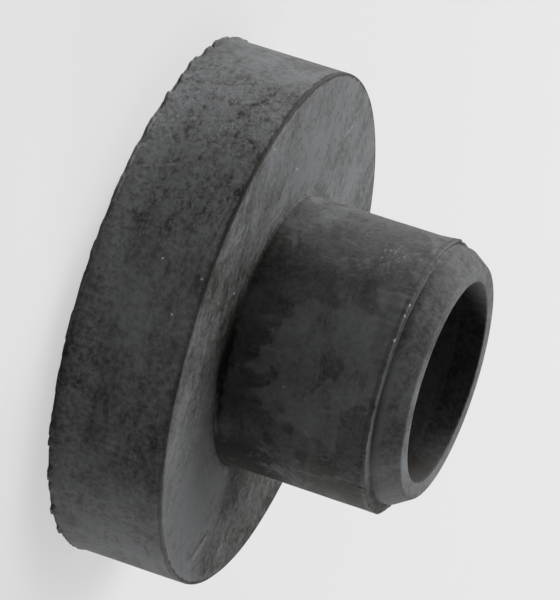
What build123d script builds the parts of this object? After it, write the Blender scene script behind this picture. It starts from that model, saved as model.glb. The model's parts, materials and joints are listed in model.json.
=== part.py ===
from build123d import *
import os
from math import cos, exp, sin, tau

# A one-piece moulded rubber grommet, in millimetres. It stands on the back face of its thick
# round flange at z = 0, with a hollow neck and a tapered nose rising along +Z.
# The mould half that formed the nose and the bore sat a little off centre, so the nose starts
# on an uneven ledge behind a low lip of flash, and the back rim carries a thin torn fin of it.

# Bore and walls, from the inside out
bore_diameter = 10.8
nose_rim_width = 1.02
nose_taper_drop = 0.56
parting_ledge = 0.41
flange_overhang = 6.61

# Lengths along the axis, from the back face up
flange_thickness = 6.3
neck_length = 8.26
nose_land_length = 0.62
nose_taper_length = 1.0

# How far the nose and the bore sit off the flange's axis, towards -Y
mould_shift = 0.22

# Rounded edges
flange_edge_radius = 0.2
neck_root_radius = 0.35
nose_edge_radius = 0.22
bore_lip_radius = 0.1

# Torn flash on the flange's back rim
rim_flash_thickness = 0.16
rim_flash_height = 0.09
rim_nib_height = 0.17
rim_nib_turn_shares = (0.094, 0.106, 0.165, 0.193, 0.766, 0.829, 0.852, 0.872)
rim_flash_steps = 360

# Unevenness of that fin: waves to a turn, how much of the height each one takes, and the
# half width of a nib in turns
flash_wave_counts = (9, 23, 41, 67)
flash_wave_shares = (0.15, 0.2, 0.2, 0.15)
nib_width_share = 0.004

# Lip of flash that stands on the neck's end, flush with the neck
neck_lip_width = 0.15
neck_lip_height = 0.12

# Sizes that follow
bore_radius = bore_diameter / 2
nose_rim_radius = bore_radius + nose_rim_width
nose_land_radius = nose_rim_radius + nose_taper_drop
neck_radius = nose_land_radius + parting_ledge
flange_radius = neck_radius + flange_overhang
parting_height = flange_thickness + neck_length
lip_top = parting_height + neck_lip_height
land_top = parting_height + nose_land_length
overall_height = land_top + nose_taper_length


def torn_rim_corners():
    """Corners of the torn fin round the flange: uneven waves of height with a few larger nibs."""
    corners = []
    for step in range(rim_flash_steps):
        turn = step / rim_flash_steps
        waves = zip(flash_wave_counts, flash_wave_shares)
        wave = sum(share * sin(tau * count * (turn + share)) for count, share in waves)
        gaps = [abs(turn - place) for place in rim_nib_turn_shares]
        nib = sum(exp(-((min(gap, 1 - gap) / nib_width_share) ** 2)) for gap in gaps)
        reach = flange_radius + rim_flash_height * (1 + wave) + rim_nib_height * nib
        corners.append((reach * cos(tau * turn), reach * sin(tau * turn)))
    return corners


with BuildPart() as grommet:
    # Flange and neck, turned as one section
    with BuildSketch(Plane.XZ) as body_section:
        with BuildLine():
            Polyline(
                (0, 0),
                (flange_radius, 0),
                (flange_radius, flange_thickness),
                (neck_radius, flange_thickness),
                (neck_radius, lip_top),
                (neck_radius - neck_lip_width, lip_top),
                (neck_radius - neck_lip_width, parting_height),
                (0, parting_height),
                close=True,
            )
        make_face()
        shoulder = body_section.vertices().filter_by_position(
            Axis.Y, flange_thickness, flange_thickness
        )
        neck_root, flange_edge = shoulder.sort_by(Axis.X)
        fillet(neck_root, radius=neck_root_radius)
        fillet(flange_edge, radius=flange_edge_radius)
    revolve(axis=Axis.Z)

    # Nose: a short straight land and a taper, turned about its own shifted axis
    with BuildSketch(Plane.XZ.offset(mould_shift)) as nose_section:
        with BuildLine():
            Polyline(
                (0, parting_height),
                (nose_land_radius, parting_height),
                (nose_land_radius, land_top),
                (nose_rim_radius, overall_height),
                (0, overall_height),
                close=True,
            )
        make_face()
        nose_edge = nose_section.vertices().group_by(Axis.Y)[-1].sort_by(Axis.X)[-1]
        fillet(nose_edge, radius=nose_edge_radius)
    revolve(axis=Axis((0, -mould_shift, 0), (0, 0, 1)))

    # Torn flash round the back rim
    with BuildSketch():
        with BuildLine():
            Polyline(*torn_rim_corners(), close=True)
        make_face()
    extrude(amount=rim_flash_thickness)

    # Through bore on the nose's axis, with a rounded lip at its mouth
    with Locations((0, -mould_shift, 0)):
        Hole(radius=bore_radius)
    end_circles = grommet.edges().filter_by(GeomType.CIRCLE).group_by(Axis.Z)[-1]
    fillet(end_circles.sort_by(SortBy.RADIUS)[0], radius=bore_lip_radius)

grommet.part.label = "grommet"

os.makedirs("parts", exist_ok=True)
export_step(grommet.part, "parts/grommet.step")
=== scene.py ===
# %% [markdown]
# # A moulded rubber grommet
#
# The part is one piece of black rubber: a thick round flange, a hollow neck and a tapered nose
# with a bore right through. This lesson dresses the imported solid: it turns a finer skin with
# torn moulding flash, gives it a mottled, dusty rubber finish, and lights and frames it.

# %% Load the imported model
import json
import math

import bmesh
import bpy
from mathutils import Euler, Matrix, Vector, noise


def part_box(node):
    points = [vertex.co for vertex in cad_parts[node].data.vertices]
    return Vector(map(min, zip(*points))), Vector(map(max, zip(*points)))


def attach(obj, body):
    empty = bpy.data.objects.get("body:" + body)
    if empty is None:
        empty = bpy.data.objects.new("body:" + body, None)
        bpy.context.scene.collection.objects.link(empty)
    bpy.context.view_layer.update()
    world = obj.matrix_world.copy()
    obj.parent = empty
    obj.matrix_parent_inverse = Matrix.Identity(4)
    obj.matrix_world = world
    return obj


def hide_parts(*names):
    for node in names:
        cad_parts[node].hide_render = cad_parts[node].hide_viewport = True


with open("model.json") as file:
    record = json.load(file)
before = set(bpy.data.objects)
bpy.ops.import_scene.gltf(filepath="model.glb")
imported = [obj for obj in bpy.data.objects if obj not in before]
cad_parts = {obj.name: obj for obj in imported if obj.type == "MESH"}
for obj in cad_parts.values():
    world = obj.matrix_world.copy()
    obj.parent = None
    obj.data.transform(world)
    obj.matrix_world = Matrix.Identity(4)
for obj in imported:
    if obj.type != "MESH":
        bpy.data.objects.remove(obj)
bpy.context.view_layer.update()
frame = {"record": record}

scene = bpy.context.scene
scene.view_settings.view_transform = "Standard"
MM = 0.001

# %% [markdown]
# ## Sizes
#
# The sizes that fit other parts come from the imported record, so the skin can't drift from the
# solid. The bore tells how far the nose sits off the flange's axis: the two halves of the mould
# didn't line up. Only what the record doesn't list is named here.

# %% Sizes of the grommet
mounts = {mount["name"]: mount for mount in frame["record"]["mounts"]}
bore_radius = mounts["bore"]["dims"]["r_mm"] * MM
neck_radius = mounts["neck"]["dims"]["r_mm"] * MM
flange_top = mounts["flange_front"]["pos_m"][2]
nose_shift = Vector((0, mounts["bore"]["pos_m"][1], 0))
overall_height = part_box("grommet")[1].z

flange_radius = 14.0 * MM
parting_height = 14.56 * MM
nose_land_radius = 6.98 * MM
nose_land_top = 15.18 * MM
nose_rim_radius = 6.34 * MM
print("bore", bore_radius, "neck", neck_radius, "nose off centre by", nose_shift.length)

# %% [markdown]
# ## The section
#
# A turned part is drawn as half a section and spun round its axis, as on a lathe. The section
# is a closed wire of a few corners. Rounding its corners and dividing its long runs while it is
# still a wire is much cheaper than doing the same to the spun mesh.

# %% Draw the section's corners
fin_reach = 0.04 * MM
fin_thickness = 0.15 * MM
fin_root_height = 0.21 * MM
lip_width = 0.15 * MM
lip_height = 0.08 * MM
lip_top = parting_height + lip_height

section_corners = {
    "bore_back": (bore_radius, 0),
    "fin_back": (flange_radius + fin_reach, 0),
    "fin_front": (flange_radius + fin_reach, fin_thickness),
    "fin_root": (flange_radius, fin_root_height),
    "flange_edge": (flange_radius, flange_top),
    "neck_root": (neck_radius, flange_top),
    "lip_outside": (neck_radius, lip_top),
    "lip_inside": (neck_radius - lip_width, lip_top),
    "ledge_outside": (neck_radius - lip_width, parting_height),
    "ledge_inside": (nose_land_radius, parting_height),
    "land_edge": (nose_land_radius, nose_land_top),
    "nose_edge": (nose_rim_radius, overall_height),
    "bore_mouth": (bore_radius, overall_height),
}
skin = bmesh.new()
corner = {name: skin.verts.new((r, 0, z)) for name, (r, z) in section_corners.items()}
loop = list(corner.values())
for first, second in zip(loop, loop[1:] + loop[:1]):
    skin.edges.new((first, second))
print("section corners:", len(loop))

# %% [markdown]
# Rubber fills a mould's corners less than sharply, so the corners of the section are rounded a
# little. Bevelling the wire's vertices does it: the offset is how far the round starts from the
# corner, and a profile of 0.5 is a circular arc.

# %% Round the section's corners
corner_rounds = {
    "flange_edge": (0.10 * MM, 4),
    "neck_root": (0.18 * MM, 4),
    "lip_outside": (0.05 * MM, 2),
    "lip_inside": (0.04 * MM, 2),
    "land_edge": (0.12 * MM, 3),
    "nose_edge": (0.11 * MM, 3),
    "bore_mouth": (0.10 * MM, 4),
}
for name, (offset, segments) in corner_rounds.items():
    bmesh.ops.bevel(
        skin, geom=[corner[name]], offset=offset, affect="VERTICES",
        segments=segments, profile=0.5, material=-1,
    )
print("section points after rounding:", len(skin.verts))

# %% [markdown]
# Long straight runs need points of their own before the surface can wander a little, as moulded
# rubber does. The back and the bore are plain, so they get fewer.

# %% Divide the long runs
visible_run = 0.55 * MM
plain_run = 2.0 * MM
touch = 0.01 * MM
for edge in list(skin.edges):
    middle = (edge.verts[0].co + edge.verts[1].co) / 2
    plain = middle.z < touch or middle.x < bore_radius + touch
    cuts = int(edge.calc_length() / (plain_run if plain else visible_run))
    if cuts:
        bmesh.ops.subdivide_edges(skin, edges=[edge], cuts=cuts)
print("section points after dividing:", len(skin.verts))

# %% [markdown]
# ## Spin
#
# The full spin needs use_merge, so that the last copy closes on the first. The steps are small
# because the torn flash needs room for nibs a fifth of a millimetre wide.

# %% Spin the section
turn_steps = 800
bmesh.ops.spin(
    skin, geom=skin.verts[:] + skin.edges[:], cent=(0, 0, 0), axis=(0, 0, 1),
    angle=math.tau, steps=turn_steps, use_merge=True,
)
bmesh.ops.remove_doubles(skin, verts=skin.verts[:], dist=0.001 * MM)
bmesh.ops.recalc_face_normals(skin, faces=skin.faces[:])
print("spun skin:", len(skin.verts), "points,", len(skin.faces), "faces")

# %% [markdown]
# ## The nose off its centre
#
# The mould half that formed the nose and the bore sat a little to one side. Everything it
# touched moves over as one, so a translate of those points tells the story exactly. On the side
# where the nose comes flush with the neck, the lip's inner wall has to give way to it.


# %% Helpers for points on rings
def ring_radius(point):
    """How far a point is from the flange's axis."""
    return math.hypot(point.co.x, point.co.y)


def ring_turn(point):
    """The turn of a point round the flange's axis."""
    return math.atan2(point.co.y, point.co.x)


def turn_gap(turn, degrees):
    """How many degrees a turn is away from a place on the ring."""
    gap = abs(math.degrees(turn) - degrees) % 360
    return min(gap, 360 - gap)


def set_radius(point, radius):
    """Move a point straight in or out to this radius."""
    change = radius / ring_radius(point)
    point.co.x *= change
    point.co.y *= change


print("largest radius in mm:", round(max(ring_radius(point) for point in skin.verts) / MM, 3))

# %% Move the nose and the bore over
hair = 0.005 * MM
lip_wall_depth = 0.05 * MM
nose_clearance = 0.008 * MM
thinnest_lip = 0.02 * MM
nose_points = set()
lip_walls = []
for point in skin.verts:
    radius = ring_radius(point)
    past_parting = point.co.z > parting_height - hair
    if radius < bore_radius + hair or (past_parting and radius < nose_land_radius + hair):
        nose_points.add(point)
    elif past_parting and radius < neck_radius - lip_width + lip_wall_depth:
        lip_walls.append(point)
bmesh.ops.translate(skin, verts=list(nose_points), vec=nose_shift)
for point in lip_walls:
    nose_side = nose_land_radius + nose_shift.y * math.sin(ring_turn(point)) + nose_clearance
    set_radius(point, min(max(ring_radius(point), nose_side), neck_radius - thinnest_lip))
print("points moved with the nose:", len(nose_points), "and lip wall points:", len(lip_walls))

# %% [markdown]
# The ledge between lip and nose isn't a clean groove: it rises a little towards the nose. Away
# from the flush side, where it is widest, rubber ran into it and left a slope up to the nose.

# %% Fill the ledge on its wide side
slope_middle = 92
slope_full = 26
slope_gone = 60
inner_rise = 0.17 * MM
inner_slope = 0.12 * MM
outer_rise = 0.065 * MM
outer_slope = 0.02 * MM
ledge_points = []
for point in skin.verts:
    if abs(point.co.z - parting_height) < hair and ring_radius(point) > nose_rim_radius:
        away = turn_gap(ring_turn(point), slope_middle)
        share = min(1, max(0, (slope_gone - away) / (slope_gone - slope_full)))
        share = share * share * (3 - 2 * share)
        if point in nose_points:
            point.co.z += inner_rise + inner_slope * share
        else:
            point.co.z += outer_rise + outer_slope * share
        ledge_points.append(point)
print("ledge points:", len(ledge_points))

# %% [markdown]
# ## Torn flash
#
# Rubber creeps into the gap where the mould halves meet and sets as a thin film. It is torn off
# by hand, and what stays behind is a ragged fin: short stretches where it stayed on, notches
# where it took some of the rim along, and a fine unevenness all round. Noise read on a circle
# closes on itself, so the fin has no seam. Each layer of it is an amount, a seed and a fineness.


# %% Helper for ragged edges
def ragged(turn, *layers):
    """Layers of noise round a ring, the same after a full turn."""
    whole = 0
    for amount, seed, fineness in layers:
        spot = Vector((math.cos(turn) * fineness, math.sin(turn) * fineness, seed))
        whole += amount * noise.noise(spot)
    return whole


test_layer = (1, 3.1, 22)
print("step after a full turn:", round(ragged(math.tau, test_layer) - ragged(0, test_layer), 6))

# %% [markdown]
# The torn places are a list of stretches round the rim, each from one turn to another in degrees,
# with the millimetres that the fin stands out there, or that it is torn back. They were placed one
# by one, with a short step at both ends of each, and moving the fin's points in and out is all it
# takes.

# %% Where the fin is torn
torn_bits = (
    (269.8, 271.4, 0.05), (274.0, 281.4, 0.07), (283.0, 292.0, 0.17), (289.6, 291.2, 0.04),
    (293.0, 296.6, 0.10), (297.2, 299.4, -0.05), (300.6, 303.6, 0.18), (303.6, 305.3, 0.24),
    (308.2, 309.4, 0.06), (310.4, 314.6, -0.14), (315.2, 316.9, 0.13), (317.3, 321.6, -0.11),
    (323.3, 326.6, 0.09), (327.8, 330.2, -0.08), (331.2, 336.4, 0.07), (338.6, 344.8, 0.09),
    (345.4, 348.8, -0.06), (349.6, 351.2, 0.08), (353.6, 356.8, 0.14), (0.6, 5.2, 0.07),
    (8.8, 14.8, 0.14), (15.6, 18.6, 0.09), (21.8, 26.6, 0.09), (31.6, 33.6, 0.09),
    (34.0, 37.2, 0.19), (37.7, 39.9, 0.21), (46.2, 49.8, 0.17), (51.0, 53.6, 0.07),
    (59.0, 61.6, 0.19), (68.4, 71.6, 0.13), (73.0, 81.0, -0.04), (87.6, 89.6, 0.05),
    (96.0, 100.5, 0.09), (104.0, 109.0, 0.12), (118.0, 121.0, -0.09), (127.0, 134.0, 0.13),
    (141.0, 143.0, 0.20), (150.0, 158.0, 0.08), (163.0, 166.0, -0.11), (171.0, 176.0, 0.15),
    (184.0, 190.0, 0.10), (197.0, 199.0, 0.19), (207.0, 216.0, 0.12), (221.0, 224.0, -0.08),
    (233.0, 239.0, 0.14), (246.0, 249.0, 0.10), (256.0, 262.0, 0.07),
)
torn_step = 0.8
fin_out_layers = ((0.028, 3.1, 22), (0.040, 7.7, 61))


def fin_tear(turn):
    """How far the torn fin stands out at a turn, in millimetres."""
    degrees = math.degrees(turn) % 360
    torn = ragged(turn, *fin_out_layers)
    for first, last, reach in torn_bits:
        inside = min(degrees - first, last - degrees) / torn_step + 0.5
        torn += reach * min(1, max(0, inside))
    return torn


print("torn stretches:", len(torn_bits))

# %% Tear the fin on the flange's back rim
fin_up_layer = (0.05, 21.3, 45)
fin_points = []
for point in skin.verts:
    radius = ring_radius(point)
    turn = ring_turn(point)
    if radius > flange_radius + fin_reach / 2 and point.co.z < fin_root_height:
        fin_points.append(point)
        set_radius(point, radius + fin_tear(turn) * MM)
        if point.co.z > hair:
            point.co.z += ragged(turn, fin_up_layer) * MM
print("torn fin points:", len(fin_points))

# %% [markdown]
# The neck ends on the second parting line. Its lip is low and crumbly, and at two places a bit
# of the film stayed on: a lump at the top and a small tongue at the bottom. A lump is a soft
# bump with a turn, a reach, half its width in degrees, its height above the parting line and
# half its length along the neck, all in millimetres but for the turns.

# %% Lumps on the lip
lip_lumps = (
    (274.0, 0.15, 2.2, -0.15, 0.34), (277.5, 0.07, 1.6, 0.0, 0.22), (96.0, 0.08, 4.0, 0.0, 0.20),
    (331.0, 0.05, 1.2, 0.08, 0.12), (336.0, 0.06, 1.2, 0.08, 0.12), (347.5, 0.05, 1.2, 0.08, 0.12),
    (152.0, 0.10, 2.4, -0.02, 0.24), (214.0, 0.07, 2.0, 0.02, 0.18),
)


def lip_lump(turn, height):
    """How far the lumps stand out of the neck, at millimetres above the parting line."""
    out = 0
    for degrees, reach, half_turn, middle, half_length in lip_lumps:
        side = turn_gap(turn, degrees) / half_turn
        along = (height - middle) / half_length
        out += reach * math.exp(-side * side - along * along)
    return out


print("lumps on the lip:", len(lip_lumps))

# %% Tear the lip on the neck's end
crumb_out_layers = ((0.03, 31.7, 14), (0.03, 37.2, 40))
crumb_up_layer = (0.05, 43.9, 26)
crumb_depth = 0.3 * MM
lip_skin = 0.07 * MM
lumps_from = parting_height - 0.96 * MM
lumps_to = lip_top + 0.08 * MM
lip_points = []
for point in skin.verts:
    radius = ring_radius(point)
    turn = ring_turn(point)
    if lumps_from < point.co.z < lumps_to and radius > neck_radius - lip_skin:
        edge = max(0, 1 - abs(point.co.z - lip_top) / crumb_depth)
        lump = lip_lump(turn, (point.co.z - parting_height) / MM)
        set_radius(point, radius + (lump + edge * ragged(turn, *crumb_out_layers)) * MM)
        point.co.z += edge * ragged(turn, crumb_up_layer) * MM
        lip_points.append(point)
print("torn lip points:", len(lip_points))

# %% [markdown]
# No moulded rubber face is quite true: it shrinks as it cools. A slow noise along the normals,
# a few hundredths of a millimetre, is enough to let the light wander over the flange. The back,
# the end of the nose and the bore stay true. A swell is an amount and a size in millimetres.

# %% Let the surface wander
swells = ((0.030, 6.0), (0.012, 1.9))
true_back = 0.3 * MM
true_end = overall_height - 0.2 * MM
skin.normal_update()
wandering = 0
for point in skin.verts:
    if true_back <= point.co.z <= true_end and ring_radius(point) >= nose_rim_radius:
        place = point.co / MM
        swell = sum(amount * noise.noise(place / size) for amount, size in swells)
        point.co += point.normal * swell * MM
        wandering += 1
print("points moved a little:", wandering)

# %% [markdown]
# The finished bmesh becomes a mesh object at the origin, with its place in its mesh. Smooth
# shading suits rubber, and edges sharper than the angle below still read as edges. The skin
# stands for the imported solid, which is hidden, and rides on its body.

# %% Make the skin an object
sharp_from = math.radians(42)
skin.normal_update()
grommet_mesh = bpy.data.meshes.new("grommet_skin")
skin.to_mesh(grommet_mesh)
skin.free()
for polygon in grommet_mesh.polygons:
    polygon.use_smooth = True
grommet_mesh.set_sharp_from_angle(angle=sharp_from)
grommet_skin = bpy.data.objects.new("grommet_skin", grommet_mesh)
scene.collection.objects.link(grommet_skin)
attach(grommet_skin, "root")
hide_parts("grommet")
print("skin faces:", len(grommet_mesh.polygons))

# %% [markdown]
# ## Rubber
#
# Old black rubber is seldom black. Wax and filler bloom out of it as a grey film, which is
# mottled where it was handled and thin where it was rubbed. Inside the bore it is taken away as
# painted shade, and a few more masks below are painted light and painted shade. The finish is
# built from masks that each tell one of these stories, read from Object coordinates in
# millimetres so that every scale below is a real size. A few helpers keep the node code short.


# %% Helpers for nodes
def add_node(tree, kind, values=None, **settings):
    """A new node, its settings set, and its inputs set or linked by name or number."""
    made = tree.nodes.new(kind)
    for setting, value in settings.items():
        setattr(made, setting, value)
    for socket, value in (values or {}).items():
        if isinstance(value, bpy.types.NodeSocket):
            tree.links.new(value, made.inputs[socket])
        else:
            made.inputs[socket].default_value = value
    return made


def maths(tree, operation, first, second=0.0, clamp=False):
    """Output of a Math node."""
    made = add_node(tree, "ShaderNodeMath", {0: first, 1: second}, operation=operation)
    made.use_clamp = clamp
    return made.outputs[0]


def vector_maths(tree, operation, first, second, output="Vector"):
    """Output of a Vector Math node."""
    made = add_node(tree, "ShaderNodeVectorMath", {0: first, 1: second}, operation=operation)
    return made.outputs[output]


def total(tree, base, *terms):
    """A base value plus masks, each with its weight."""
    whole = base
    for mask, weight in terms:
        whole = maths(tree, "ADD", maths(tree, "MULTIPLY", mask, weight), whole)
    return whole


print("node helpers ready")

# %% [markdown]
# Three more helpers are what the finish is drawn with: a smooth step, which cuts a mask out of a
# value, a cloudy noise and a mix of two colours.


# %% Helpers for patterns
def fade(tree, value, start, end, low=0.0, high=1.0):
    """A smooth step: low up to start, high from end on."""
    made = add_node(
        tree, "ShaderNodeMapRange",
        {"Value": value, "From Min": start, "From Max": end, "To Min": low, "To Max": high},
        interpolation_type="SMOOTHSTEP",
    )
    return made.outputs["Result"]


def blotches(tree, place, scale, detail=3.0, roughness=0.55, twist=0.0):
    """Noise value with so many features to the millimetre."""
    made = add_node(
        tree, "ShaderNodeTexNoise",
        {"Vector": place, "Scale": scale, "Detail": detail, "Roughness": roughness,
         "Distortion": twist},
    )
    return made.outputs["Fac"]


def mixed(tree, factor, first, second):
    """Colour between two colours."""
    made = add_node(
        tree, "ShaderNodeMix", {"Factor": factor, 6: first, 7: second}, data_type="RGBA"
    )
    return made.outputs[2]


print("pattern helpers ready")

# %% [markdown]
# Each effect of the finish is a node group with named inputs and outputs, so that it can be
# placed again on another rubber part.

# %% Helpers for node groups
FLOAT = "NodeSocketFloat"
VECTOR = "NodeSocketVector"


def new_group(name, inputs, outputs):
    """An empty shader node group with named sockets, and its two end nodes."""
    tree = bpy.data.node_groups.new(name, "ShaderNodeTree")
    for socket, kind in inputs.items():
        tree.interface.new_socket(socket, in_out="INPUT", socket_type=kind)
    for socket, kind in outputs.items():
        tree.interface.new_socket(socket, in_out="OUTPUT", socket_type=kind)
    return tree, tree.nodes.new("NodeGroupInput"), tree.nodes.new("NodeGroupOutput")


def put_out(tree, end, results):
    """Link a group's results to its output sockets by name."""
    for socket, value in results.items():
        tree.links.new(value, end.inputs[socket])
    print("group", tree.name, "with", len(tree.nodes), "nodes")


print("group helpers ready")

# %% [markdown]
# The first group turns Object coordinates into what a turned part is read by: the place in
# millimetres, the radius and height, the way a point faces across the axis, and the radius
# about the nose's own axis.

# %% Group: where on the grommet
whereabouts, start, end = new_group("whereabouts", {}, {
    "Place": VECTOR, "Facing": VECTOR, "Radius": FLOAT, "Nose radius": FLOAT, "Height": FLOAT,
})
coordinates = add_node(whereabouts, "ShaderNodeTexCoord").outputs["Object"]
in_mm = vector_maths(whereabouts, "MULTIPLY", coordinates, (1 / MM, 1 / MM, 1 / MM))
across = vector_maths(whereabouts, "MULTIPLY", in_mm, (1, 1, 0))
nose_across = vector_maths(whereabouts, "SUBTRACT", across, nose_shift / MM)
put_out(whereabouts, end, {
    "Place": in_mm,
    "Facing": vector_maths(whereabouts, "NORMALIZE", across, (0, 0, 0)),
    "Radius": vector_maths(whereabouts, "LENGTH", across, (0, 0, 0), "Value"),
    "Nose radius": vector_maths(whereabouts, "LENGTH", nose_across, (0, 0, 0), "Value"),
    "Height": add_node(whereabouts, "ShaderNodeSeparateXYZ", {0: in_mm}).outputs["Z"],
})

# %% [markdown]
# Edges tell the most about wear. Rubbed edges lose their bloom and show the black rubber as a
# thin line, and corners are shaded. One group serves both: it measures how near a point is to a
# rim, a circle of one radius and height, and roughens the answer a little, so the line isn't
# drawn with a compass.

# %% Group: near a rim
near_rim, start, end = new_group("near_rim", {
    "Place": VECTOR, "Radius": FLOAT, "Height": FLOAT,
    "Rim radius": FLOAT, "Rim height": FLOAT, "Reach": FLOAT,
}, {"Mask": FLOAT})
out = maths(near_rim, "SUBTRACT", start.outputs["Radius"], start.outputs["Rim radius"])
up = maths(near_rim, "SUBTRACT", start.outputs["Height"], start.outputs["Rim height"])
squares = maths(
    near_rim, "ADD",
    maths(near_rim, "MULTIPLY", out, out),
    maths(near_rim, "MULTIPLY", up, up),
)
rim_noise = blotches(near_rim, start.outputs["Place"], 1.4)
waver = fade(near_rim, rim_noise, 0.2, 0.8, 0.55, 1.45)
reach = maths(near_rim, "MULTIPLY", start.outputs["Reach"], waver)
share = maths(near_rim, "DIVIDE", maths(near_rim, "SQRT", squares), reach)
put_out(near_rim, end, {"Mask": fade(near_rim, share, 0.45, 1.0, 1.0, 0.0)})

# %% [markdown]
# The bloom itself is cloudy: broad patches, smaller mottling inside them and a fine unevenness.
# Where it broke up it left light flecks and dark pits, a few tenths of a millimetre across and
# drawn out round the part, the way the rubber flowed into the mould. Each output is a noise of
# its own scale on the plain place or on one of two stretched ones, cut to a mask by a fade. Scuffs
# and pits read their noise elsewhere, so that they don't repeat the flecks.

# %% Group: mottled bloom
mottled_bloom, start, end = new_group("mottled_bloom", {"Place": VECTOR}, {
    "Cloud": FLOAT, "Mottle": FLOAT, "Fine": FLOAT,
    "Film": FLOAT, "Scuffs": FLOAT, "Flecks": FLOAT, "Glints": FLOAT, "Pits": FLOAT,
})
elsewhere = (31.0, 17.0, 5.0)
plain = start.outputs["Place"]
round_about = vector_maths(mottled_bloom, "MULTIPLY", plain, (0.36, 0.36, 1.3))
grit = vector_maths(mottled_bloom, "MULTIPLY", plain, (0.62, 0.62, 1.25))
round_aside = vector_maths(mottled_bloom, "ADD", round_about, elsewhere)
grit_aside = vector_maths(mottled_bloom, "ADD", grit, elsewhere)


def bloom_mask(place, noise_values, start, end):
    """One of the bloom's noises, cut to a mask."""
    return fade(mottled_bloom, blotches(mottled_bloom, place, *noise_values), start, end)


put_out(mottled_bloom, end, {
    "Cloud": bloom_mask(plain, (0.16, 3.0, 0.5, 0.4), 0.3, 0.7),
    "Mottle": bloom_mask(plain, (0.75, 5.0, 0.62, 0.6), 0.28, 0.72),
    "Fine": bloom_mask(plain, (3.6, 4.0, 0.65), 0.32, 0.68),
    "Film": blotches(mottled_bloom, plain, 0.30, 5.0, 0.6, 0.6),
    "Scuffs": bloom_mask(round_aside, (0.55, 6.0, 0.66, 0.8), 0.50, 0.60),
    "Flecks": bloom_mask(grit, (4.6, 3.0, 0.6), 0.54, 0.68),
    "Glints": bloom_mask(grit, (6.0, 3.0, 0.6, 1.2), 0.57, 0.72),
    "Pits": bloom_mask(grit_aside, (2.6, 4.0, 0.62), 0.49, 0.64),
})

# %% [markdown]
# The mould's flat face was ground in one direction, and the rubber copied its lay as soft
# streaks. Handling added scratches. Both are noise on stretched coordinates: the streaks are
# its slow rise and fall, and a scratch is the thin line where it crosses its middle value,
# kept only in a few patches.

# %% Group: drawn lines
drawn_lines, start, end = new_group("drawn_lines", {"Place": VECTOR, "Drawn place": VECTOR}, {
    "Streaks": FLOAT, "Scratches": FLOAT,
})
drawn = start.outputs["Drawn place"]
line_noise = blotches(drawn_lines, drawn, 0.8, 1.0, 0.4)
crossing = maths(drawn_lines, "ABSOLUTE", maths(drawn_lines, "SUBTRACT", line_noise, 0.5))
line = fade(drawn_lines, crossing, 0.015, 0.065, 1.0, 0.0)
patch_noise = blotches(drawn_lines, start.outputs["Place"], 0.30, 2.0)
patches = fade(drawn_lines, patch_noise, 0.54, 0.64)
streak_noise = blotches(drawn_lines, drawn, 0.55, 4.0, 0.6)
put_out(drawn_lines, end, {
    "Streaks": fade(drawn_lines, streak_noise, 0.28, 0.72),
    "Scratches": maths(drawn_lines, "MULTIPLY", line, patches),
})

# %% [markdown]
# A few pale specks of dust cling to the rubber. Voronoi cells a millimetre wide each hold one
# point; a speck shows where the surface passes close to such a point, in a few cells only.

# %% Group: dust specks
dust_specks, start, end = new_group("dust_specks", {"Place": VECTOR}, {"Mask": FLOAT})
cells = add_node(
    dust_specks, "ShaderNodeTexVoronoi", {"Vector": start.outputs["Place"], "Scale": 1.0}
)
dot = fade(dust_specks, cells.outputs["Distance"], 0.045, 0.085, 1.0, 0.0)
draw = add_node(dust_specks, "ShaderNodeSeparateColor", {0: cells.outputs["Color"]}).outputs[0]
chosen = fade(dust_specks, draw, 0.90, 0.91)
put_out(dust_specks, end, {"Mask": maths(dust_specks, "MULTIPLY", dot, chosen)})

# %% [markdown]
# Some marks are single ones: a blot, a rubbed patch, a scratch of its own. Each is a stroke from
# one point to another, told by how near the surface is to it, again with a wavering edge. A spot
# is a stroke whose two ends are the same.

# %% Group: near a stroke
near_stroke, start, end = new_group(
    "near_stroke", {"Place": VECTOR, "From": VECTOR, "To": VECTOR, "Reach": FLOAT}, {"Mask": FLOAT}
)
run = vector_maths(near_stroke, "SUBTRACT", start.outputs["To"], start.outputs["From"])
lead = vector_maths(near_stroke, "SUBTRACT", start.outputs["Place"], start.outputs["From"])
along = maths(
    near_stroke, "DIVIDE",
    vector_maths(near_stroke, "DOT_PRODUCT", lead, run, "Value"),
    vector_maths(near_stroke, "DOT_PRODUCT", run, run, "Value"), clamp=True,
)
nearest = vector_maths(near_stroke, "MULTIPLY", run, along)
gap = vector_maths(near_stroke, "DISTANCE", lead, nearest, "Value")
stroke_noise = blotches(near_stroke, start.outputs["Place"], 1.8, 4.0)
waver = fade(near_stroke, stroke_noise, 0.25, 0.75, 0.45, 1.55)
reach = maths(near_stroke, "MULTIPLY", start.outputs["Reach"], waver)
share = maths(near_stroke, "DIVIDE", gap, reach)
put_out(near_stroke, end, {"Mask": fade(near_stroke, share, 0.55, 1.0, 1.0, 0.0)})

# %% [markdown]
# ## The rubber material
#
# The material places the groups and adds up how much bloom lies where: 0 is bare black rubber
# and 1 is a full grey film. It works in millimetres, so the sizes are turned into those first.

# %% Rubber material: start
rubber = bpy.data.materials.new("bloomed_rubber")
rubber.use_nodes = True
tree = rubber.node_tree
shader = tree.nodes["Principled BSDF"]
grommet_mesh.materials.append(rubber)

where = add_node(tree, "ShaderNodeGroup", node_tree=whereabouts).outputs
place = where["Place"]
height_here = where["Height"]
radius_here = where["Radius"]
nose_radius_here = where["Nose radius"]
bloom = add_node(tree, "ShaderNodeGroup", {"Place": place}, node_tree=mottled_bloom).outputs
specks = add_node(tree, "ShaderNodeGroup", {"Place": place}, node_tree=dust_specks).outputs["Mask"]

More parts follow.
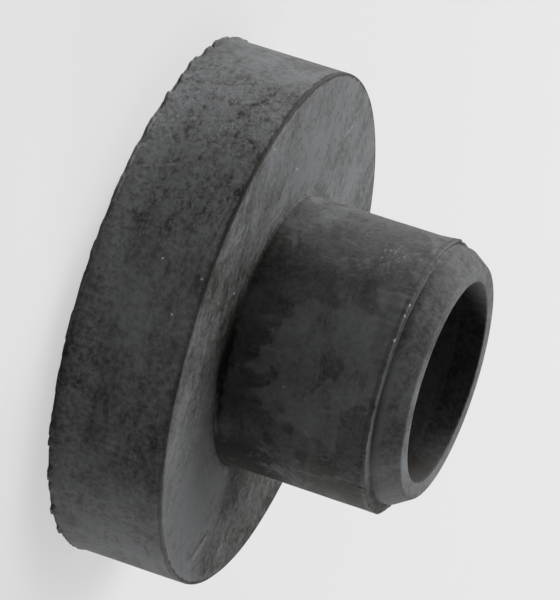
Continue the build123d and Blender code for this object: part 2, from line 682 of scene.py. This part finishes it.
bore_mm = bore_radius / MM
neck_mm = neck_radius / MM
flange_mm = flange_radius / MM
face_mm = flange_top / MM
parting_mm = parting_height / MM
land_mm = nose_land_radius / MM
land_top_mm = nose_land_top / MM
end_mm = overall_height / MM
print("bloom outputs:", [socket.name for socket in bloom])

# %% [markdown]
# Masks are put together in a few plain ways: what rises or falls along a value, what several
# masks share, the largest of some, and what faces one side of the part.


# %% Helpers for masks
def rise(value, start, end):
    """0 up to start and 1 from end on."""
    return fade(tree, value, start, end)


def fall(value, start, end):
    """1 up to start and 0 from end on."""
    return fade(tree, value, start, end, 1.0, 0.0)


def by_mask(mask, off, on):
    """A value that goes from off to on as a mask fills."""
    return fade(tree, mask, 0.0, 1.0, off, on)


def shared(*masks):
    """What masks have in common: their product. A number weakens it."""
    whole = masks[0]
    for mask in masks[1:]:
        whole = maths(tree, "MULTIPLY", whole, mask)
    return whole


def most(*masks):
    """The largest of some masks."""
    whole = masks[0]
    for mask in masks[1:]:
        whole = maths(tree, "MAXIMUM", whole, mask)
    return whole


def all_but(mask):
    """What a mask leaves out."""
    return total(tree, 1.0, (mask, -1.0))


def side_zone(degrees, start, end):
    """Mask of what faces a turn, from the cosine where it starts to that where it is full."""
    way = (math.cos(math.radians(degrees)), math.sin(math.radians(degrees)), 0)
    return rise(vector_maths(tree, "DOT_PRODUCT", where["Facing"], way, "Value"), start, end)


print("mask helpers ready")

# %% [markdown]
# First come the parts of the form. They could be vertex groups or painted masks, but on a turned
# part each is found more simply by its radius and height, with a short fade at its border.

# %% Rubber material: the parts of the form
off_face = maths(tree, "ABSOLUTE", maths(tree, "SUBTRACT", height_here, face_mm))
on_face = fall(off_face, 0.07, 0.16)
on_side = rise(radius_here, flange_mm - 0.5, flange_mm - 0.2)
on_neck = shared(
    fall(radius_here, neck_mm + 0.09, neck_mm + 0.17),
    fall(height_here, parting_mm - 0.16, parting_mm - 0.06),
)
on_lip = shared(
    rise(height_here, parting_mm + 0.02, parting_mm + 0.10),
    rise(nose_radius_here, land_mm + 0.05, land_mm + 0.12),
)
on_ledge = shared(
    rise(height_here, parting_mm, parting_mm + 0.06),
    fall(height_here, land_top_mm - 0.18, land_top_mm + 0.12),
    fall(radius_here, neck_mm - 0.17, neck_mm - 0.09),
)
flush_side = side_zone(270, 0.70, 0.95)
on_land = shared(
    rise(height_here, parting_mm + 0.10, parting_mm + 0.22),
    fall(height_here, land_top_mm - 0.14, land_top_mm - 0.02),
    all_but(flush_side),
)
on_nose = rise(height_here, parting_mm + 0.10, parting_mm + 0.24)
on_ring = rise(height_here, end_mm - 0.03, end_mm - 0.005)
in_bore = fall(nose_radius_here, bore_mm + 0.02, bore_mm + 0.12)
print("nodes so far:", len(tree.nodes))

# %% [markdown]
# Then the rims: the flange's two edges, where bloom is rubbed off, the round at the neck's root and
# the face round it, which get painted shade, the crease under the lip, which gets painted shade
# too, and the ridge between land and cone. A Bevel node would find edges by itself, but all of
# them alike, while a rim that is named can have a reach of its own.


# %% Rubber material: the rims
def rim_mask(from_axis, rim_radius, rim_height, reach):
    """Mask of what lies near a rim, all in millimetres, from one of the two axes."""
    made = add_node(tree, "ShaderNodeGroup", {
        "Place": place, "Radius": from_axis, "Height": height_here,
        "Rim radius": rim_radius, "Rim height": rim_height, "Reach": reach,
    }, node_tree=near_rim)
    return made.outputs["Mask"]


front_edge = rim_mask(radius_here, flange_mm, face_mm - 0.06, 0.23)
back_edge = rim_mask(radius_here, flange_mm, 0.0, 0.22)
root_round_shade = rim_mask(radius_here, neck_mm + 0.06, face_mm + 0.06, 0.34)
root_shade = rim_mask(radius_here, neck_mm + 0.22, face_mm, 0.62)
crease = rim_mask(radius_here, neck_mm, parting_mm - 0.10, 0.16)
land_ridge = rim_mask(nose_radius_here, land_mm, land_top_mm, 0.17)
print("nodes so far:", len(tree.nodes))

# %% [markdown]
# The bloom that lies all over is cloudy, mottled and scuffed, more strongly on the flange's side
# and more faintly on the neck. Off the neck it is painted a little fuller on the side at the top
# of the view, as painted light.
# Adding up weighted masks, part by part, lets each of them be tuned without touching the others.

# %% Rubber material: bloom all over
general_bloom = total(
    tree, 0.30,
    (bloom["Cloud"], by_mask(on_side, 0.24, 0.32)),
    (maths(tree, "SUBTRACT", bloom["Mottle"], 0.5), by_mask(most(on_face, on_neck), 0.36, 0.24)),
    (bloom["Fine"], by_mask(on_neck, 0.40, 0.24)),
    (bloom["Scuffs"], by_mask(on_side, -0.14, -0.24)),
    # painted light: lighter on the side at the top of the view, off the neck
    (shared(side_zone(276, 0.3, 0.95), all_but(on_neck)), 0.12),
)
print("nodes so far:", len(tree.nodes))

# %% [markdown]
# The flange's face shows the lay of the ground mould and a few scratches across it. Its bloom is
# painted thinner on two sides, as painted shade where the neck shades the face, and fuller on two
# others, as painted light.


# %% Rubber material: the flange's face
def lines_along(scale, degrees=0.0):
    """Streaks and scratches drawn along the axis that the scale makes slow."""
    turned = add_node(
        tree, "ShaderNodeMapping", {"Vector": place, "Rotation": (0, 0, math.radians(degrees))}
    ).outputs["Vector"]
    drawn_place = vector_maths(tree, "MULTIPLY", turned, scale)
    return add_node(
        tree, "ShaderNodeGroup", {"Place": place, "Drawn place": drawn_place}, node_tree=drawn_lines
    ).outputs


face_streaks = lines_along((4.2, 1.0, 1.0))["Streaks"]
face_scratches = lines_along((0.25, 3.0, 1.0), -40)["Scratches"]
lay = shared(maths(tree, "SUBTRACT", face_streaks, 0.5), on_face)
# painted shade on two sides of the face, painted light on two others
shaded_face_sides = most(side_zone(120, 0.80, 1.0), shared(side_zone(4, 0.80, 1.0), 0.70))
lit_face_sides = most(side_zone(58, 0.70, 0.95), shared(side_zone(268, 0.70, 0.95), 0.45))
face_bloom = total(
    tree, 0.0,
    (lay, 0.30),
    (shared(face_scratches, on_face), 0.24),
    (shared(shaded_face_sides, on_face), -0.46),
    (shared(lit_face_sides, on_face), 0.38),
)
print("nodes so far:", len(tree.nodes))

# %% [markdown]
# On the flange's side the bloom broke up into flecks and pits, strongly in one zone and here and
# there elsewhere. Along the back rim it is painted lighter, on one side more than on the other, as
# painted light that lifts the floor's shadow there. It is painted lighter as well towards the side
# that faces down in the view.

# %% Rubber material: the flange's side
strewn = most(side_zone(324, 0.86, 0.97), shared(bloom["Mottle"], 0.34))
flecks_and_pits = total(tree, 0.06, (bloom["Flecks"], 0.85), (bloom["Pits"], -0.47))
broken = shared(flecks_and_pits, strewn, on_side)
side_scratches = lines_along((2.4, 2.4, 0.25))["Scratches"]
back_rim_light = shared(on_side, side_zone(2, 0.45, 0.85), fall(height_here, 0.3, 2.4))
side_bloom = total(
    tree, 0.0,
    (broken, 1.0),
    (side_scratches, 0.16),
    (shared(on_side, side_zone(30, 0.90, 0.985)), -0.16),
    # painted light: lighter on the side that faces down in the view
    (shared(on_side, side_zone(70, 0.72, 0.95)), 0.23),
    # painted light along the back rim, lifting the floor's shadow
    (back_rim_light, 0.38),
)
print("nodes so far:", len(tree.nodes))

# %% [markdown]
# The neck carries its bloom as a film with clear shores, like a dried puddle. Towards the root it
# is bare, up to a wandering height. Its foot is painted lighter on one side, as painted light that
# lifts the shade in the corner, and painted shade darkens the face round the root, the round itself
# and the neck's side that faces down in the view.

# %% Rubber material: the neck
bare_height = total(tree, height_here, (bloom["Mottle"], 1.6), (side_zone(270, 0.3, 0.95), 2.5))
bare_root = shared(on_neck, fall(bare_height, face_mm + 1.9, face_mm + 4.1))
film_field = total(tree, bloom["Film"], (side_zone(8, 0.80, 0.97), 0.12), (bare_root, -0.20))
neck_film = shared(on_neck, rise(film_field, 0.52, 0.56))
root_zone = fall(height_here, face_mm + 0.2, face_mm + 1.5)
painted_light_root = shared(on_neck, side_zone(22, 0.70, 0.92), root_zone)
lower_zone = fall(height_here, face_mm + 2.2, face_mm + 6.7)
matt_shaded_root = shared(on_neck, side_zone(84, 0.70, 0.92), lower_zone)
neck_bloom = total(
    tree, 0.0,
    (on_neck, -0.07),
    (neck_film, 0.28),
    (bare_root, -0.14),
    # painted light: the neck's foot on one side is lifted out of the corner's shade
    (painted_light_root, 0.35),
    # painted shade: the neck's side that faces down in the view, and the round at its root there
    (shared(on_neck, side_zone(82, 0.70, 0.95)), -0.48),
    (shared(root_round_shade, side_zone(65, 0.25, 0.70)), -0.40),
    # painted shade on the face round the neck's root
    (root_shade, -0.24),
)
print("nodes so far:", len(tree.nodes))

# %% [markdown]
# The nose is darker than the rest, apart from its flat end ring, which shows pale. On one side the
# ledge and the nose are painted lighter, as painted light that lifts the shade in the ledge.

# %% Rubber material: lip, nose and end ring
# painted light on one side of the ledge and the nose
lit_ledge_side = side_zone(27, 0.74, 0.95)
nose_bloom = total(
    tree, 0.0,
    (on_lip, -0.26),
    (on_nose, -0.20),
    (land_ridge, 0.04),
    (shared(on_nose, lit_ledge_side), 0.25),
    (shared(on_ledge, lit_ledge_side), 0.55),
    (on_ring, 0.32),
    (shared(on_ring, side_zone(350, 0.55, 0.9)), -0.34),
)
print("nodes so far:", len(tree.nodes))

# %% [markdown]
# Some marks can be pointed at one by one in the photo, and they are given so. They could be
# painted in an image, but a few points given by turn, radius and height need no image and no UV map.


# %% Rubber material: helpers for single marks
def stroke_mask(first, last, reach):
    """Mask of what lies near a stroke, its ends a turn in degrees, a radius and a height."""
    ends = []
    for degrees, out, up in (first, last):
        turn = math.radians(degrees)
        ends.append((out * math.cos(turn), out * math.sin(turn), up))
    made = add_node(tree, "ShaderNodeGroup", {
        "Place": place, "From": ends[0], "To": ends[1], "Reach": reach,
    }, node_tree=near_stroke)
    return made.outputs["Mask"]


def spot_mask(spot, reach):
    """Mask of what lies near one place, given as a turn in degrees, a radius and a height."""
    return stroke_mask(spot, spot, reach)


print("mark helpers ready")

# %% [markdown]
# A blot on the neck is a turn, a height and a reach, and a fleck on the lip a turn and a reach. A
# pale patch on the neck and a glinting one on the flange's side are large spots, broken up by the
# bloom's own noise.

# %% Rubber material: blots and flecks
neck_blot_places = ((29, 9.6, 0.50), (38, 10.4, 0.45), (50, 11.2, 0.50))
lip_fleck_places = ((333, 0.13), (338, 0.10), (349, 0.10))
lip_radius_mm = neck_mm - 0.03
lip_top_mm = lip_top / MM
neck_blots = most(*(
    spot_mask((turn, neck_mm, up), reach) for turn, up, reach in neck_blot_places
))
lip_flecks = most(*(
    spot_mask((turn, lip_radius_mm, lip_top_mm), reach) for turn, reach in lip_fleck_places
))
pale_patch = shared(spot_mask((313, neck_mm, 12.7), 1.3), bloom["Flecks"])
glints = shared(spot_mask((315, flange_mm, 3.0), 3.6), bloom["Glints"])
print("nodes so far:", len(tree.nodes))

# %% [markdown]
# A stroke on the flange's side has a turn and a height at both ends, one on its face a turn and a
# radius, and the last number is its reach. One runs dark beside a pale one, as the edge of a
# scratch does.

# %% Rubber material: strokes
side_strokes = (
    (335.2, 0.8, 332.9, 2.2, 0.12),
    (337.0, 0.6, 336.6, 1.6, 0.15),
    (332.6, 0.5, 331.9, 1.2, 0.12),
)
face_strokes = (
    (84.2, 13.15, 91.6, 11.45, 0.20),
    (259.9, 11.1, 254.4, 12.5, 0.12),
)
strokes = [
    stroke_mask((from_turn, flange_mm, from_up), (to_turn, flange_mm, to_up), reach)
    for from_turn, from_up, to_turn, to_up, reach in side_strokes
]
strokes += [
    stroke_mask((from_turn, from_out, face_mm), (to_turn, to_out, face_mm), reach)
    for from_turn, from_out, to_turn, to_out, reach in face_strokes
]
light_strokes = shared(most(*strokes), bloom["Fine"])
dark_stroke = stroke_mask((82.4, 12.80, face_mm), (91.4, 11.0, face_mm), 0.12)
mark_bloom = total(
    tree, 0.0,
    (neck_blots, -0.24),
    (pale_patch, 0.55),
    (light_strokes, 0.70),
    (dark_stroke, -0.40),
)
print("nodes so far:", len(tree.nodes))

# %% [markdown]
# Wear takes away a share of all that on the flange's edges, and the nose's land loses a little. The
# bore, but for one side, and the crease under the lip lose a share as painted shade. A share, rather
# than a fixed amount, leaves the bloom's own pattern in what is left.

# %% Rubber material: how much bloom lies where
front_rubbed = shared(front_edge, by_mask(side_zone(25, 0.70, 0.95), 1.0, 0.45))
rubbed = most(front_rubbed, shared(back_edge, 0.45))
# painted shade: the bore is darkened, all but the side facing turn 195 degrees
bore_shade = shared(in_bore, by_mask(side_zone(195, 0.20, 0.80), 0.92, 0.0))
# painted shade in the crease under the lip
crease_shade = shared(crease, by_mask(flush_side, 0.40, 0.55))
kept = shared(
    all_but(shared(rubbed, 0.85)),
    all_but(bore_shade),
    all_but(shared(on_land, 0.10)),
    all_but(crease_shade),
)
added_up = total(
    tree, general_bloom,
    (face_bloom, 1.0),
    (side_bloom, 1.0),
    (neck_bloom, 1.0),
    (nose_bloom, 1.0),
    (mark_bloom, 1.0),
)
amount = maths(tree, "MULTIPLY", added_up, kept, clamp=True)
print("nodes so far:", len(tree.nodes))

# %% [markdown]
# The amount of bloom drives the rest: the more of it, the greyer the colour and the rougher the
# surface. On the neck's side that faces down in the view, near the root, the rubber is quite matt
# and mixed towards a darker black, as painted shade. Specks and scraps of pale dust go on top of
# the colour, with pale specks on the back rim that belong to the painted light there.

# %% Rubber material: colour and roughness
black_rubber = (0.0265, 0.0248, 0.0210, 1)
shade_black = (0.0130, 0.0125, 0.0110, 1)
grey_bloom = (0.166, 0.170, 0.174, 1)
pale_dust = (0.50, 0.51, 0.51, 1)
pale_scraps_and_light = total(
    tree, 0.0,
    (glints, 0.38),
    (light_strokes, 0.08),
    (pale_patch, 0.10),
    # pale specks along the back rim, part of its painted light
    (shared(back_rim_light, bloom["Fine"]), 0.30),
)
# painted shade: near the root on the lower side the colour goes towards a darker black
bare = mixed(tree, matt_shaded_root, black_rubber, shade_black)
film = mixed(tree, amount, bare, grey_bloom)
dusted = mixed(tree, most(specks, lip_flecks, pale_scraps_and_light), film, pale_dust)
tree.links.new(dusted, shader.inputs["Base Color"])
tree.links.new(most(by_mask(amount, 0.68, 0.84), matt_shaded_root), shader.inputs["Roughness"])
shader.inputs["Specular IOR Level"].default_value = 0.16
print("nodes so far:", len(tree.nodes))

# %% [markdown]
# The film is uneven, and under it lies the fine grain of the mould. Relief of a few hundredths of a
# millimetre is too fine to model: a bump only tilts the light on it, which is all that shows.

# %% Rubber material: relief
relief = total(
    tree, 0.0,
    (blotches(tree, place, 6.5, 3.0, 0.6), 0.45),
    (bloom["Mottle"], 0.45),
    (broken, 0.9),
    (lay, 0.5),
)
bump = add_node(
    tree, "ShaderNodeBump", {"Height": relief, "Strength": 0.7, "Distance": 0.04 * MM}
)
tree.links.new(bump.outputs["Normal"], shader.inputs["Normal"])
print("rubber nodes:", len(tree.nodes))

# %% [markdown]
# ## Floor
#
# The part was photographed on a pale, even ground. A sheet of matt white card does for it: one flat
# face, so wide that the camera never sees its edges.

# %% Floor: the sheet
floor_half_width = 1.5
floor_mesh = bpy.data.meshes.new("floor")
sheet = bmesh.new()
bmesh.ops.create_grid(sheet, x_segments=1, y_segments=1, size=floor_half_width)
sheet.to_mesh(floor_mesh)
sheet.free()
floor = bpy.data.objects.new("floor", floor_mesh)
scene.collection.objects.link(floor)
print("floor is", 2 * floor_half_width, "metres wide")

# %% [markdown]
# The card is faintly cloudy, so that the background isn't a dead flat tone, and has no gloss, so
# that it doesn't mirror the lamps. Most of what the camera sees of it is its own pale tone, an
# emission that shows to the camera and in reflections only. The rest is plain card, so the part's
# shadow on it stays soft and light.

# %% Floor: white card
own_tone_share = 0.70
own_tone = (0.76, 0.76, 0.765, 1)
card = bpy.data.materials.new("white_card")
card.use_nodes = True
card_tree = card.node_tree
card_shader = card_tree.nodes["Principled BSDF"]
card_place = add_node(card_tree, "ShaderNodeTexCoord").outputs["Object"]
card_cloud = blotches(card_tree, card_place, 60.0, 3.0)
card_colour = mixed(card_tree, card_cloud, (0.685, 0.685, 0.692, 1), (0.715, 0.715, 0.718, 1))
card_tree.links.new(card_colour, card_shader.inputs["Base Color"])
card_shader.inputs["Roughness"].default_value = 0.9
card_shader.inputs["Specular IOR Level"].default_value = 0.0

ray = add_node(card_tree, "ShaderNodeLightPath").outputs
mirrored = maths(card_tree, "MAXIMUM", ray["Is Glossy Ray"], ray["Is Transmission Ray"])
seen = maths(card_tree, "MAXIMUM", ray["Is Camera Ray"], mirrored)
card_pale = add_node(card_tree, "ShaderNodeEmission", {"Color": own_tone})
card_mix = add_node(card_tree, "ShaderNodeMixShader", {
    0: maths(card_tree, "MULTIPLY", seen, own_tone_share),
    1: card_shader.outputs["BSDF"],
    2: card_pale.outputs["Emission"],
})
card_surface = card_tree.nodes["Material Output"].inputs["Surface"]
card_tree.links.new(card_mix.outputs["Shader"], card_surface)
floor_mesh.materials.append(card)
print("card nodes:", len(card_tree.nodes))

# %% [markdown]
# ## Light
#
# The photo's light is broad and comes from behind and above: the top and the bottom of the
# picture get light from both sides, and the side towards the camera has only what the floor
# throws back. Two soft lamps high up and two low ones behind the part do that. The low ones
# graze the floor, so they cast little shadow on it.

# %% World and lights
world = bpy.data.worlds.new("studio")
scene.world = world
world.use_nodes = True
sky = world.node_tree.nodes["Background"]
sky.inputs["Color"].default_value = (1, 1, 1, 1)
sky.inputs["Strength"].default_value = 0.091


def soft_light(name, azimuth, elevation, distance, size, power):
    """A round area light in a direction in degrees, metres away, aimed at the part."""
    lamp = bpy.data.lights.new(name, "AREA")
    lamp.shape = "DISK"
    lamp.size = size
    lamp.energy = power
    holder = bpy.data.objects.new(name, lamp)
    heading = Euler((0, -math.radians(elevation), math.radians(azimuth))).to_matrix()
    way = heading @ Vector((1, 0, 0))
    holder.location = way * distance
    holder.rotation_mode = "QUATERNION"
    holder.rotation_quaternion = (-way).to_track_quat("-Z", "Y")
    scene.collection.objects.link(holder)
    print(name, "at", [round(v, 3) for v in holder.location])


soft_light("high_up", azimuth=252, elevation=60, distance=0.46, size=0.28, power=1.24)
soft_light("high_back", azimuth=175, elevation=60, distance=0.46, size=0.28, power=0.68)
soft_light("low_down", azimuth=130, elevation=10, distance=0.48, size=0.16, power=1.42)
soft_light("low_up", azimuth=243, elevation=14, distance=0.48, size=0.22, power=2.12)

# %% [markdown]
# ## Camera
#
# The place, the aim, the roll and the focal length were fitted together to the rims in the
# photo. The part stands upright in its frame while the photo shows it lying over, so the camera
# is rolled instead of the part.

# %% Camera
aim = Vector((0, -1.621 * MM, 6.209 * MM))
camera_place = Vector((268.13 * MM, 0.04 * MM, 80.77 * MM))
camera_roll = math.radians(107.87)
lens = bpy.data.cameras.new("camera")
lens.sensor_width = 36
lens.lens = 319.2
lens.clip_start = 0.01
camera = bpy.data.objects.new("camera", lens)
camera.location = camera_place
camera.rotation_mode = "QUATERNION"
look = (aim - camera_place).to_track_quat("-Z", "Y")
camera.rotation_quaternion = look @ Euler((0, 0, camera_roll)).to_quaternion()
scene.collection.objects.link(camera)
scene.camera = camera
print("camera is", round((aim - camera_place).length / MM, 1), "mm from what it looks at")
